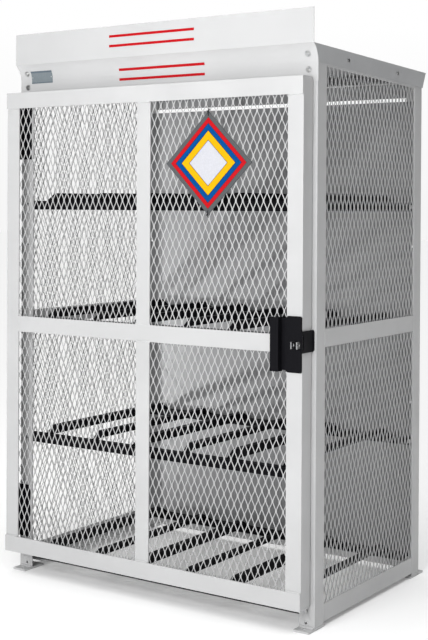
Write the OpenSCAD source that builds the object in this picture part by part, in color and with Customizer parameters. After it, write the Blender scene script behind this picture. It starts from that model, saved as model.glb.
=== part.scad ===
// Storage cage for gas cylinders that lie on four shelves.
// Welded angle-iron frame, expanded-metal door and sides, sheet-metal back and sloping roof.
// Millimetres. X runs across the front, Y from front to back, Z up from the floor.

/* [Cage] */
// Width over the corner posts
cage_w = 1115; // [1000:5:1300]
// Depth over the corner posts
cage_d = 677; // [600:1:800]
// Leg of the frame's angle iron and width of its flat bars
leg = 50.8; // [44:0.1:58]
// Thickness of the frame's angle iron and flat bars
frame_t = 4.8; // [3:0.1:6]
// Height of the bottom rails above the floor
base_gap = 15.2; // [10:0.1:40]
// Height of the middle of the side walls' mid rail
side_mid_z = 820.5; // [700:0.5:950]

/* [Door] */
// How far the door's free edge stands back from the cage's right side
door_short = 14; // [12:0.5:16]
// Height of the door
door_h = 1490; // [1400:1:1600]
// Height of the door's bottom edge above the floor
door_bottom = 66; // [60:1:90]
// How far the door reaches past the hinge post's outer face
door_over = 13; // [11:1:16]
// Gap between the door's back edge and the posts
door_gap = 3.2; // [2.8:0.1:6]
// Height of the middle of the door's mid rail above the door's bottom edge
door_mid = 742.5; // [650:0.5:800]

/* [Expanded metal] */
// Distance between openings across the short way
mesh_swd = 35.1; // [30:0.1:60]
// Distance between openings along the long way
mesh_lwd = 76.2; // [60:0.1:120]
// Width of a strand
mesh_strand = 4; // [2.5:0.1:6]
// Thickness of the sheet
mesh_t = 3; // [1.5:0.1:4]
// How far a mesh panel laps behind its frame
mesh_lap = 12; // [8:1:18]
// Solid edge of a mesh panel, hidden behind its frame
mesh_edge = 8; // [4:1:8]

/* [Header] */
// Height of the upright sign board
board_h = 99; // [60:1:160]
// Thickness of the header's sheet
header_t = 1.9; // [1.2:0.1:3]
// Height of the cove below the board
cove_rise = 53; // [40:1:70]
// How far the cove brings the board forward
cove_run = 26; // [16:1:34]
// Upright part between the door's top and the cove
header_flat = 40; // [30:1:60]
// How far the header's sheet reaches down behind the door
header_lap = 12; // [5:1:20]
// Height of the header's lower fasteners above the door's top
header_bolt_up = 21; // [16:1:28]
// Place of the header's upper fasteners on the cove, in degrees from its upright foot
cove_bolt_angle = 22; // [18:1:30]

/* [Roof] */
// Thickness of the roof's sheet
roof_t = 1.9; // [1.2:0.1:3]
// Fall of the roof from front to back
roof_fall = 20; // [10:1:40]
// How far the roof reaches past the back posts
roof_rear = 26; // [20:1:40]
// Height of the roof's side flanges
roof_flange = 51; // [45:1:60]
// How far the sloping top side rail shows below the roof's flange
rail_show = 6.5; // [4:0.1:12]
// Distances of the two flange screws from the front posts' face
screw_y = [174, 495];
// Height of a flange screw above the flange's lower edge
screw_rise = 25; // [18:1:30]
// Radius of a flange screw's shank
screw_r = 2.4; // [2:0.1:3.5]
// Radius of a flange screw's head
screw_head_r = 5; // [4:0.1:7]
// Height of a flange screw's head
screw_head_h = 3; // [2:0.1:5]
// How far a flange screw's point stands out behind the top side rail
screw_point = 6; // [2:0.5:10]

/* [Back] */
// Thickness of the back panel
back_t = 1.2; // [0.8:0.1:2]
// Distance from the roof down to the top back rail
back_rail_drop = 29; // [10:1:60]
// Open strip between the back panel and the top back rail
vent_gap = 12; // [5:1:40]
// How far the back panel laps over the bottom back rail
back_lap = 30; // [10:1:40]

/* [Shelves] */
// Height of the middle of the lowest shelf's rails
shelf_first = 53; // [50:1:60]
// Distance between shelves
shelf_pitch = 380; // [370:1:382]
// Leg of the shelf rails' angle iron
shelf_leg = 28.6; // [25:0.2:34]
// Thickness of the shelf steel
shelf_t = 3.2; // [2.5:0.1:4]
// Height of a cradle bar above the rails
bar_h = 25.4; // [20:0.2:34]
// Width of a cradle bar
bar_w = 25.4; // [20:0.2:36]
// Length of the slope at each end of a cradle bar
bar_slope = 38; // [24:1:50]
// Distance between the two bars that hold a cylinder
bar_gap = 192; // [170:1:210]
// Distance between cylinders
cylinder_pitch = 354; // [330:1:370]
// Distance from a cradle bar's end to the posts' outer face
bar_inset = 17; // [14:1:22]

/* [Fasteners] */
// Distance of the post holes from the posts' outer face
hole_inset = 29; // [24:0.5:30]
// Radius of a shelf bolt's shank
bolt_r = 4; // [3:0.1:5]
// Radius of a shelf bolt's head over its corners
bolt_head_r = 7; // [6:0.1:7.5]
// Height of a shelf bolt's head
bolt_head_h = 4.6; // [3:0.1:5]
// Height of a nut
nut_h = 6.5; // [4:0.1:8]
// Clearance round a bolt in its hole
bolt_clear = 0.4; // [0.2:0.1:1]
// Heights of the spare holes in the posts
spare_z = [559, 1065];
// Radius of the small hole near each front post's foot
toe_hole_r = 4; // [3:0.5:5]
// Height of that small hole above the floor
toe_hole_z = 19; // [14:1:24]
// Radius of a header fastener's washer
washer_r = 9; // [7:0.1:10]
// Thickness of a header fastener's washer
washer_t = 1.2; // [0.8:0.1:2]
// Radius of a header fastener's head over its corners
header_head_r = 5.8; // [5:0.1:7]
// Height of a header fastener's head
header_head_h = 3.4; // [2:0.1:5]

/* [Feet] */
// Thickness of a foot plate
foot_t = 6.35; // [5:0.05:10]
// Length of the tab that stands out of the cage
foot_tab = 34; // [26:1:50]
// Length of the foot plate under the post
foot_under = 57; // [51:1:80]
// Radius of the floor anchor's hole
anchor_r = 5.5; // [4:0.5:8]

/* [Hinges] */
// Height of a hinge
hinge_h = 170; // [120:1:200]
// Radius of the hinge's barrel
barrel_r = 6; // [5.4:0.1:6]
// Radius of the hinge pin
pin_r = 3; // [2.5:0.1:3.5]
// Clearance between the pin and the knuckles
pin_clear = 0.06; // [0.02:0.01:0.1]
// Gap between two knuckles
knuckle_gap = 0.4; // [0.3:0.1:1]
// Thickness of a hinge leaf
leaf_t = 2.6; // [2:0.1:3]
// Width of the leaf on the post, from the pin
leaf_w = 63; // [50:1:66]
// Width of the leaf on the door, from the pin
door_leaf_w = 42; // [30:1:50]
// Height of the middle of the lower hinge above the door's bottom edge
hinge_low = 124.5; // [110:0.5:200]
// Distance of the middle of the upper hinge below the door's top edge
hinge_high = 128.5; // [110:0.5:200]

/* [Latch] */
// Height of the latch
latch_h = 152; // [130:1:180]
// Width of the latch case
case_w = 50; // [46:1:50]
// Thickness of the latch case's sheet
case_t = 3; // [2:0.1:4]
// Thickness of the sliding plate
slide_t = 4; // [3:0.1:5]
// Running gap of the sliding plate
slide_gap = 0.3; // [0.2:0.1:0.5]
// Travel of the sliding plate
slide_travel = 13; // [10:0.5:13]
// Width of the pull grip
grip_w = 27; // [20:1:34]
// How far the pull grip stands out
grip_out = 20; // [14:1:30]
// Height of the tongue
tongue_h = 36; // [24:1:44]
// How far the tongue's middle lies above the latch's middle
tongue_up = 8; // [0:1:12]
// Height of the keeper plate
keeper_h = 61; // [58:1:80]
// Thickness of the keeper plate
keeper_t = 3; // [2:0.1:5]
// Gap between the door's edge and the keeper plate
keeper_gap = 2; // [1.5:0.1:3]
// Clearance round the tongue in the keeper's slot
keeper_clear = 1; // [0.6:0.1:1.5]
// Steel in front of the keeper's slot
keeper_lip = 5; // [3:0.5:8]
// Height of a padlock ear
ear_h = 20; // [16:1:26]
// Thickness of a padlock ear
ear_t = 3; // [2:0.1:4]
// How far the padlock ears stand out of the latch case
ear_out = 18; // [16:1:24]
// Radius of the padlock hole
padlock_r = 5; // [4:0.5:6]

/* [Placard] */
// Side of the square placard plate, which hangs on its corner
placard_side = 214; // [150:1:250]
// Thickness of the placard plate
placard_t = 3; // [1.5:0.1:4]
// Distance of the placard's middle to the right of the cage's middle
placard_x = 222.5; // [170:0.5:250]
// Height of the placard's middle above the door's bottom edge
placard_up = 1252; // [1150:1:1280]

/* [Hidden] */

$fn = 32;
// Small gap where a curved or sloping face lies on its neighbour
seat_gap = 0.3;
// Overlap that lets a cut pass cleanly through a face
cut = 1;
// Number of shelves, one set of nodes each
shelf_count = 4;
// Knuckles on one hinge
knuckles = 5;
// Straight steps in the cove's arc and in the front edge of the roof's flange
arc_steps = 16;
flange_steps = 12;
// Gap behind a hinge leaf, and between its plate and the barrel
leaf_gap = 0.2;
leaf_clear = 1;
// Overhang and height of a hinge pin's two heads
pin_flange = 1.6;
pin_head_h = 2.5;
// Play round the latch's sliding plate and between its grip and the case
slide_play = 0.5;
grip_play = 1;
// Distance of the fixed padlock ear from the case's right side, and between the two ears
ear_inset = 2;
ear_gap = 2;

half_w = cage_w / 2;
left_x = -half_w;
right_x = half_w;
hole_x = half_w - hole_inset;

// Door and the planes in its depth
door_left = left_x - door_over;
door_right = right_x - door_short;
door_w = door_right - door_left;
door_mid_x = (door_left + door_right) / 2;
door_back = -door_gap;
stile_front = door_back - leg;
rail_front = stile_front - frame_t;
door_mesh_y = stile_front + frame_t;
door_top = door_bottom + door_h;
door_mid_z = door_bottom + door_mid;

// Header profile: the cove is an arc that starts upright and ends at the board's lower edge
cove_r = (cove_rise * cove_rise + cove_run * cove_run) / (2 * cove_run);
cove_angle = 2 * atan(cove_run / cove_rise);
cove_z = door_top + header_flat;
cove_y = -header_t - cove_r;
crease_z = cove_z + cove_rise;
board_front = -header_t - cove_run;
header_bottom = door_top - header_lap;
cage_top = crease_z + board_h;
header_bolt_z = door_top + header_bolt_up;
// A flat washer stands this far off the hollow cove
cove_seat = washer_r * washer_r / (2 * cove_r) + seat_gap;

// Roof plane; its front edge lies against the back of the header's cove
cove_back_r = cove_r + header_t + seat_gap;
function cove_back(z) = cove_y + sqrt(pow(cove_back_r, 2) - pow(max(0, z - cove_z), 2));
roof_front = cove_back(crease_z);
roof_back = cage_d + roof_rear;
roof_slope = roof_fall / (roof_back - roof_front);
roof_half = half_w + roof_t;
function roof_top(y) = crease_z - (y - roof_front) * roof_slope;
function roof_under(y) = roof_top(y) - roof_t;
front_post_top = roof_under(leg) - seat_gap;
rear_post_top = roof_under(cage_d) - seat_gap;

// Back wall
back_y = cage_d - frame_t;
back_face = back_y - back_t;
back_rail_top = roof_under(cage_d) - back_rail_drop;
back_top = back_rail_top - leg - vent_gap;
bottom_rail_top = base_gap + leg;

// Shelves
rail_face = frame_t;
bar_front = bar_inset;
bar_back = cage_d - bar_inset;
function shelf_z(level) = shelf_first + (level - 1) * shelf_pitch;
function rail_top(level) = shelf_z(level) + shelf_leg / 2;
bar_angle = atan(bar_h / bar_slope);

// Hinges
hinge_x = door_left - barrel_r;
hinge_y = -leaf_t / 2 - leaf_gap;
lower_hinge_z = door_bottom + hinge_low;
upper_hinge_z = door_top - hinge_high;
knuckle_h = hinge_h / knuckles;
leaf_start = barrel_r + leaf_clear;
pin_head_r = pin_r + pin_flange;

// Latch planes, from the stile's face outwards
slide_back = stile_front - slide_gap;
slide_front = slide_back - slide_t;
case_back = slide_front - slide_gap;
case_front = case_back - case_t;
ear_front = case_front - ear_out;
case_left = door_right - case_w;
tongue_z = door_mid_z + tongue_up;
tongue_tip = door_right - seat_gap;
plate_end = door_right - case_t - slide_travel - seat_gap - slide_play;
grip_right = case_left - slide_travel - grip_play;
grip_left = grip_right - grip_w;
grip_front = slide_front - grip_out;
plate_half = latch_h / 2 - case_t - slide_play;
fixed_ear_x = door_right - ear_inset - ear_t;
moving_ear_x = fixed_ear_x - slide_travel - ear_t - ear_gap;
ear_z = door_mid_z;
padlock_y = (case_front + ear_front) / 2;
keeper_x = door_right + keeper_gap;
keeper_front = slide_front - keeper_clear - keeper_lip;

// The whole cage, and the shift that puts the origin in the middle of its footprint
foot_back = cage_d + foot_tab;
cage_left = hinge_x - barrel_r;
cage_right = roof_half + screw_head_h;
cage_front = min(ear_front, grip_front);
cage_back = max(foot_back, roof_back);
shift_x = -(cage_left + cage_right) / 2;
shift_y = -(cage_front + cage_back) / 2;

white_paint = [0.88, 0.89, 0.90];
roof_paint = [0.62, 0.63, 0.64];
black_paint = [0.08, 0.08, 0.09];
zinc = [0.75, 0.76, 0.78];
placard_grey = [0.42, 0.43, 0.44];

module in_place() {
    translate([shift_x, shift_y, 0])
        children();
}

// Angle iron standing up, its corner on the Z axis and its legs along +X and +Y
module angle_iron(length, size, wall) {
    linear_extrude(length)
        polygon([[0, 0], [size, 0], [size, wall], [wall, wall], [wall, size], [0, size]]);
}

// Box given by two opposite corners
module block(low, high) {
    translate(low)
        cube(high - low);
}

// Cylinder along Y that starts at y and runs towards the back
module rod_y(x, y, z, r, length) {
    translate([x, y, z])
        rotate([-90, 0, 0])
            cylinder(r = r, h = length);
}

// Cylinder along X that starts at x and runs to the right
module rod_x(x, y, z, r, length) {
    translate([x, y, z])
        rotate([0, 90, 0])
            cylinder(r = r, h = length);
}

// Frame of the cage

// Hole for a bolt along Y through a sheet or flange of thickness t whose front is at y
module bolt_hole(x, y, z, t) {
    rod_y(x, y - cut, z, bolt_r + bolt_clear, t + 2 * cut);
}

// Holes through a sheet or flange on the right side, for shelf bolts and spare positions
module shelf_holes(y, t) {
    for (level = [1:shelf_count])
        bolt_hole(hole_x, y, shelf_z(level), t);
    for (z = spare_z)
        bolt_hole(hole_x, y, z, t);
}

// Right front post: front flange towards the middle, side flange towards the back
module front_post() {
    difference() {
        translate([right_x, 0, foot_t])
            mirror([1, 0, 0])
                angle_iron(front_post_top - foot_t, leg, frame_t);
        shelf_holes(0, frame_t);
        rod_y(hole_x, -cut, toe_hole_z, toe_hole_r, frame_t + 2 * cut);
        bolt_hole(hole_x, 0, header_bolt_z, frame_t);
    }
}

// Right rear post: back flange towards the middle, side flange towards the front
module rear_post() {
    difference() {
        translate([right_x, cage_d, foot_t])
            mirror([1, 0, 0])
                mirror([0, 1, 0])
                    angle_iron(rear_post_top - foot_t, leg, frame_t);
        shelf_holes(back_y, frame_t);
    }
}

module to_left() {
    mirror([1, 0, 0])
        children();
}

module front_left_post() {
    color(white_paint) in_place() to_left() front_post();
}

module front_right_post() {
    color(white_paint) in_place() front_post();
}

module rear_left_post() {
    color(white_paint) in_place() to_left() rear_post();
}

module rear_right_post() {
    color(white_paint) in_place() rear_post();
}

// Foot plate under a right post; its tab stands out by foot_tab and takes the floor anchor
module foot_plate() {
    difference() {
        block([right_x - leg, -foot_tab, 0], [right_x, foot_under, foot_t]);
        translate([right_x - leg / 2, -foot_tab / 2, -cut])
            cylinder(r = anchor_r, h = foot_t + 2 * cut);
    }
}

module rear_foot_plate() {
    translate([0, cage_d, 0])
        mirror([0, 1, 0])
            foot_plate();
}

module front_left_foot_plate() {
    color(white_paint) in_place() to_left() foot_plate();
}

module front_right_foot_plate() {
    color(white_paint) in_place() foot_plate();
}

module rear_left_foot_plate() {
    color(white_paint) in_place() to_left() rear_foot_plate();
}

module rear_right_foot_plate() {
    color(white_paint) in_place() rear_foot_plate();
}

// Right bottom rail: angle iron along Y with its flat leg inwards at the bottom
module side_bottom_rail() {
    translate([right_x, leg, base_gap])
        rotate([-90, 0, 0])
            mirror([1, 0, 0])
                mirror([0, 1, 0])
                    angle_iron(cage_d - 2 * leg, leg, frame_t);
}

module side_mid_rail() {
    block([right_x - frame_t, leg, side_mid_z - leg / 2],
          [right_x, cage_d - leg, side_mid_z + leg / 2]);
}

// Right top rail: angle iron that follows the roof's slope, its flat leg inwards at the top
module side_top_rail() {
    difference() {
        translate([right_x, 0, 0])
            rotate([90, 0, -90])
                mirror([1, 0, 0])
                    union() {
                        linear_extrude(frame_t)
                            sloping_strip(leg);
                        linear_extrude(leg)
                            sloping_strip(frame_t);
                    }
        for (y = screw_y)
            rod_x(right_x - frame_t - cut, y, screw_z(y), screw_r + seat_gap, frame_t + 2 * cut);
    }
}

// Strip along Y between the posts, its top edge parallel to the roof
module sloping_strip(height) {
    polygon([
        [leg, rail_line(leg)], [cage_d - leg, rail_line(cage_d - leg)],
        [cage_d - leg, rail_line(cage_d - leg) - height], [leg, rail_line(leg) - height]
    ]);
}

// Top edge of the sloping rail, and the height of a flange screw
function rail_line(y) = roof_top(y) - roof_flange - rail_show + leg;
function screw_z(y) = roof_top(y) - roof_flange + screw_rise;

module left_bottom_rail() {
    color(white_paint) in_place() to_left() side_bottom_rail();
}

module left_mid_rail() {
    color(white_paint) in_place() to_left() side_mid_rail();
}

module left_top_rail() {
    color(white_paint) in_place() to_left() side_top_rail();
}

module right_bottom_rail() {
    color(white_paint) in_place() side_bottom_rail();
}

module right_mid_rail() {
    color(white_paint) in_place() side_mid_rail();
}

module right_top_rail() {
    color(white_paint) in_place() side_top_rail();
}

// Expanded metal

// Opening between four strands: a rhombus that leaves half a strand on each side
module opening(dx, dy) {
    reach = dx * dy / (4 * norm([dx / 2, dy / 2]));
    k = 1 - mesh_strand / (2 * reach);
    polygon([[k * dx / 2, 0], [0, k * dy / 2], [-k * dx / 2, 0], [0, -k * dy / 2]]);
}

// Expanded-metal panel in the XY plane with its corner at the origin and its long way upright
module mesh_panel(w, h) {
    open_w = w - 2 * mesh_edge;
    open_h = h - 2 * mesh_edge;
    columns = round(open_w / mesh_swd);
    rows = round(open_h / mesh_lwd);
    dx = open_w / columns;
    dy = open_h / rows;
    linear_extrude(mesh_t)
        difference() {
            square([w, h]);
            translate([mesh_edge, mesh_edge])
                intersection() {
                    square([open_w, open_h]);
                    union() {
                        for (i = [0:columns], j = [0:rows])
                            translate([i * dx, j * dy])
                                opening(dx, dy);
                        for (i = [0:columns - 1], j = [0:rows - 1])
                            translate([(i + 0.5) * dx, (j + 0.5) * dy])
                                opening(dx, dy);
                    }
                }
        }
}

// Side panel against the inner face of the right wall's frame, between two heights
module side_mesh(z_low, z_high) {
    translate([right_x - frame_t - mesh_t, leg - mesh_lap, z_low - mesh_lap])
        rotate([90, 0, 90])
            mesh_panel(cage_d - 2 * leg + 2 * mesh_lap, z_high - z_low + 2 * mesh_lap);
}

module side_lower_mesh() {
    side_mesh(bottom_rail_top, side_mid_z - leg / 2);
}

module side_upper_mesh() {
    side_mesh(side_mid_z + leg / 2, rail_line(leg) - leg);
}

module left_lower_mesh() {
    color(white_paint) in_place() to_left() side_lower_mesh();
}

module left_upper_mesh() {
    color(white_paint) in_place() to_left() side_upper_mesh();
}

module right_lower_mesh() {
    color(white_paint) in_place() side_lower_mesh();
}

module right_upper_mesh() {
    color(white_paint) in_place() side_upper_mesh();
}

// Back wall

module back_panel() {
    color(white_paint)
        in_place()
            difference() {
                block([left_x + frame_t, back_face, bottom_rail_top - back_lap],
                      [right_x - frame_t, back_y, back_top]);
                shelf_holes(back_face, back_t);
                to_left() shelf_holes(back_face, back_t);
            }
}

// Flat bar between the rear posts, which leaves room for the lowest shelf's rail
module back_bottom_rail() {
    color(white_paint)
        in_place()
            block([left_x + leg, back_y, base_gap], [right_x - leg, cage_d, bottom_rail_top]);
}

// Angle iron between the rear posts: one leg upright at the back, the other flat on top
module back_top_rail() {
    color(white_paint)
        in_place()
            translate([left_x + leg, cage_d, back_rail_top])
                mirror([0, 0, 1])
                    rotate([90, 0, 90])
                        mirror([1, 0, 0])
                            angle_iron(cage_w - 2 * leg, leg, frame_t);
}

// Roof and header

// Points of the cove's arc at radius r, from its foot to the board
function cove_arc(r) = [
    for (i = [0:arc_steps])
        let (a = cove_angle * i / arc_steps) [cove_y + r * cos(a), cove_z + r * sin(a)]
];

// Header sheet seen from the side, as a line of points at a distance from its front face
function header_line(off) = concat(
    [[-header_t + off, header_bottom]],
    cove_arc(cove_r + off),
    [[board_front + off, crease_z + off], [board_front + off, cage_top]]
);

function reversed(list) = [for (i = [len(list) - 1:-1:0]) list[i]];

module header_panel() {
    color(white_paint)
        in_place()
            difference() {
                translate([-roof_half, 0, 0])
                    rotate([90, 0, 90])
                        linear_extrude(2 * roof_half)
                            polygon(concat(header_line(0), reversed(header_line(header_t))));
                for (s = [-1, 1]) {
                    bolt_hole(s * hole_x, -header_t, header_bolt_z, header_t);
                    on_cove(s * hole_x)
                        cylinder(r = bolt_r + bolt_clear, h = 4 * header_t, center = true);
                }
            }
}

// Frame on the cove's front face, its Z axis pointing out of the sheet
module on_cove(x) {
    translate([x, cove_y, cove_z])
        rotate([cove_bolt_angle, 0, 0])
            translate([0, cove_r, 0])
                rotate([90, 0, 0])
                    children();
}

// Fastener with its washer on the plane Z = 0: head above, shank and nut below
module header_fastener(grip, nut) {
    cylinder(r = washer_r, h = washer_t);
    cylinder(r = header_head_r, h = washer_t + header_head_h, $fn = 6);
    translate([0, 0, -grip - nut])
        cylinder(r = bolt_r, h = grip + nut + washer_t);
    translate([0, 0, -grip - nut])
        cylinder(r = header_head_r, h = nut, $fn = 6);
}

module header_bolts() {
    color(zinc)
        in_place()
            for (s = [-1, 1]) {
                translate([s * hole_x, -header_t, header_bolt_z])
                    rotate([90, 0, 0])
                        header_fastener(header_t + frame_t, nut_h);
                on_cove(s * hole_x)
                    translate([0, 0, cove_seat])
                        header_fastener(header_t + cove_seat + seat_gap, header_t);
            }
}

// Side flange of the roof, seen from the side
module roof_flange_shape() {
    low = roof_top(0) - roof_flange;
    rise = crease_z - low;
    polygon(concat(
        [for (i = [0:flange_steps]) let (z = low + rise * i / flange_steps) [cove_back(z), z]],
        [[roof_back, roof_top(roof_back)]],
        [[cage_d + roof_t + seat_gap, roof_top(cage_d) - roof_flange]]
    ));
}

// Top sheet and the slanting back flange, seen from the side
module roof_sheet_shape() {
    fold = 1.3 * roof_t;
    polygon([
        [roof_front, crease_z],
        [roof_back, roof_top(roof_back)],
        [cage_d + roof_t + seat_gap, roof_top(cage_d) - roof_flange],
        [cage_d + seat_gap, roof_top(cage_d) - roof_flange],
        [roof_back - fold, roof_under(roof_back)],
        [cove_back(crease_z - roof_t), crease_z - roof_t]
    ]);
}

module roof_pan() {
    color(roof_paint)
        in_place()
            difference() {
                union() {
                    translate([-roof_half, 0, 0])
                        rotate([90, 0, 90])
                            linear_extrude(2 * roof_half)
                                roof_sheet_shape();
                    for (x = [-roof_half, half_w])
                        translate([x, 0, 0])
                            rotate([90, 0, 90])
                                linear_extrude(roof_t)
                                    roof_flange_shape();
                }
                for (x = [-roof_half, half_w], y = screw_y)
                    rod_x(x - cut, y, screw_z(y), screw_r + seat_gap, roof_t + 2 * cut);
            }
}

module roof_screw(y) {
    rod_x(roof_half, y, screw_z(y), screw_head_r, screw_head_h);
    rod_x(half_w - frame_t - screw_point, y, screw_z(y), screw_r,
          roof_t + frame_t + screw_point + cut);
}

module roof_screws() {
    color(zinc)
        in_place()
            for (y = screw_y) {
                roof_screw(y);
                to_left() roof_screw(y);
            }
}

// Shelves

// Front rail: angle iron along X with its flat leg on top, bolted behind the front posts
module shelf_front_rail(level) {
    z = shelf_z(level);
    difference() {
        union() {
            block([left_x + frame_t, rail_face, z - shelf_leg / 2],
                  [right_x - frame_t, rail_face + shelf_t, rail_top(level)]);
            block([left_x + frame_t, rail_face, rail_top(level) - shelf_t],
                  [right_x - frame_t, rail_face + shelf_leg, rail_top(level)]);
        }
        for (s = [-1, 1])
            bolt_hole(s * hole_x, rail_face, z, shelf_t);
    }
}

// Rear rail: the front rail turned round, against the back panel
module shelf_rear_rail(level) {
    translate([0, back_face + rail_face, 0])
        mirror([0, 1, 0])
            shelf_front_rail(level);
}

// Cradle bar seen from the side: a strap that climbs off the rail, runs level and comes down again
function bar_outline(base) = [
    [bar_front, base], [bar_front + bar_slope, base + bar_h],
    [bar_back - bar_slope, base + bar_h], [bar_back, base]
];

module bar_top_shape(base) {
    under = base + bar_h - shelf_t;
    toe = shelf_t / sin(bar_angle);
    bend = bar_slope + shelf_t * tan(bar_angle / 2);
    polygon(concat(bar_outline(base), [
        [bar_back - toe, base], [bar_back - bend, under],
        [bar_front + bend, under], [bar_front + toe, base]
    ]));
}

// Bar centred on x; s is its side of the pair, and its upright web faces its partner
module cradle_bar(x, s, base) {
    translate([x - bar_w / 2, 0, 0])
        rotate([90, 0, 90])
            linear_extrude(bar_w)
                bar_top_shape(base);
    translate([s > 0 ? x - bar_w / 2 : x + bar_w / 2 - shelf_t, 0, 0])
        rotate([90, 0, 90])
            linear_extrude(shelf_t)
                polygon(bar_outline(base));
}

module cradle_bars(level) {
    for (place = [-1:1], s = [-1, 1])
        cradle_bar(place * cylinder_pitch + s * bar_gap / 2, s, rail_top(level));
}

module shelf_1_front_rail() {
    color(black_paint) in_place() shelf_front_rail(1);
}

module shelf_1_rear_rail() {
    color(black_paint) in_place() shelf_rear_rail(1);
}

module shelf_1_cradle_bars() {
    color(black_paint) in_place() cradle_bars(1);
}

module shelf_2_front_rail() {
    color(black_paint) in_place() shelf_front_rail(2);
}

module shelf_2_rear_rail() {
    color(black_paint) in_place() shelf_rear_rail(2);
}

module shelf_2_cradle_bars() {
    color(black_paint) in_place() cradle_bars(2);
}

module shelf_3_front_rail() {
    color(black_paint) in_place() shelf_front_rail(3);
}

module shelf_3_rear_rail() {
    color(black_paint) in_place() shelf_rear_rail(3);
}

module shelf_3_cradle_bars() {
    color(black_paint) in_place() cradle_bars(3);
}

module shelf_4_front_rail() {
    color(black_paint) in_place() shelf_front_rail(4);
}

module shelf_4_rear_rail() {
    color(black_paint) in_place() shelf_rear_rail(4);
}

module shelf_4_cradle_bars() {
    color(black_paint) in_place() cradle_bars(4);
}

// Hex bolt along Y with its head's seat at y, pointing to the back; its nut sits past the grip
module shelf_bolt(x, y, z, grip) {
    translate([x, y, z])
        rotate([-90, 0, 0]) {
            translate([0, 0, -bolt_head_h])
                cylinder(r = bolt_head_r, h = bolt_head_h, $fn = 6);
            translate([0, 0, -bolt_head_h / 2])
                cylinder(r = bolt_r, h = bolt_head_h / 2 + grip + nut_h);
            translate([0, 0, grip])
                cylinder(r = bolt_head_r, h = nut_h, $fn = 6);
        }
}

module shelf_bolts() {
    color(zinc)
        in_place()
            for (s = [-1, 1], level = [1:shelf_count]) {
                shelf_bolt(s * hole_x, 0, shelf_z(level), rail_face + shelf_t);
                translate([0, cage_d, 0])
                    mirror([0, 1, 0])
                        shelf_bolt(s * hole_x, 0, shelf_z(level), frame_t + back_t + shelf_t);
            }
}

// Hinges

// Leaf on the post: a plate on the post's face, rolled round the pin at every other knuckle
module post_leaf(z) {
    translate([hinge_x, hinge_y, z])
        difference() {
            union() {
                block([leaf_start, -leaf_t / 2, -hinge_h / 2], [leaf_w, leaf_t / 2, hinge_h / 2]);
                for (i = [0:2:knuckles - 1])
                    translate([0, 0, -hinge_h / 2 + i * knuckle_h + knuckle_gap / 2]) {
                        cylinder(r = barrel_r, h = knuckle_h - knuckle_gap);
                        block([0, -leaf_t / 2, 0],
                              [leaf_start + cut, leaf_t / 2, knuckle_h - knuckle_gap]);
                    }
            }
            translate([0, 0, -hinge_h / 2 - cut])
                cylinder(r = pin_r + pin_clear, h = hinge_h + 2 * cut);
        }
}

// Leaf on the outer face of the door's stile, rolled round the pin at the knuckles between
module door_leaf(z) {
    translate([hinge_x, hinge_y, z])
        difference() {
            union() {
                block([barrel_r - leaf_t, -door_leaf_w, -hinge_h / 2],
                      [barrel_r, -leaf_start, hinge_h / 2]);
                for (i = [1:2:knuckles - 1])
                    translate([0, 0, -hinge_h / 2 + i * knuckle_h + knuckle_gap / 2]) {
                        cylinder(r = barrel_r, h = knuckle_h - knuckle_gap);
                        block([barrel_r - leaf_t, -leaf_start - cut, 0],
                              [barrel_r, 0, knuckle_h - knuckle_gap]);
                    }
            }
            translate([0, 0, -hinge_h / 2 - cut])
                cylinder(r = pin_r + pin_clear, h = hinge_h + 2 * cut);
        }
}

// Pin with a flat head on the top knuckle and a peened end under the bottom one
module hinge_pin(z) {
    translate([hinge_x, hinge_y, z]) {
        translate([0, 0, -hinge_h / 2])
            cylinder(r = pin_r, h = hinge_h);
        translate([0, 0, hinge_h / 2 - knuckle_gap / 2])
            cylinder(r = pin_head_r, h = pin_head_h);
        translate([0, 0, -hinge_h / 2 + knuckle_gap / 2 - pin_head_h])
            cylinder(r = pin_head_r, h = pin_head_h);
    }
}

module lower_hinge_post_leaf() {
    color(black_paint) in_place() post_leaf(lower_hinge_z);
}

module lower_hinge_door_leaf() {
    color(black_paint) in_place() door_leaf(lower_hinge_z);
}

module lower_hinge_pin() {
    color(zinc) in_place() hinge_pin(lower_hinge_z);
}

module upper_hinge_post_leaf() {
    color(black_paint) in_place() post_leaf(upper_hinge_z);
}

module upper_hinge_door_leaf() {
    color(black_paint) in_place() door_leaf(upper_hinge_z);
}

module upper_hinge_pin() {
    color(zinc) in_place() hinge_pin(upper_hinge_z);
}

// Door

// Stiles stand between the flat legs of the top and bottom rails
module door_left_stile() {
    color(white_paint)
        in_place()
            translate([door_left, stile_front, door_bottom + frame_t])
                angle_iron(door_h - 2 * frame_t, leg, frame_t);
}

module door_right_stile() {
    color(white_paint)
        in_place()
            translate([door_right, stile_front, door_bottom + frame_t])
                mirror([1, 0, 0])
                    angle_iron(door_h - 2 * frame_t, leg, frame_t);
}

// Rail as wide as the door, lapped over the stiles' faces, its corner at the bottom
module door_rail() {
    translate([door_left, rail_front, 0])
        rotate([90, 0, 90])
            angle_iron(door_w, leg, frame_t);
}

module door_top_rail() {
    color(white_paint)
        in_place()
            translate([0, 0, door_top])
                mirror([0, 0, 1])
                    door_rail();
}

module door_bottom_rail() {
    color(white_paint)
        in_place()
            translate([0, 0, door_bottom])
                door_rail();
}

module door_mid_rail() {
    color(white_paint)
        in_place()
            block([door_left + leg, stile_front, door_mid_z - leg / 2],
                  [door_right - leg, door_mesh_y, door_mid_z + leg / 2]);
}

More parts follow.
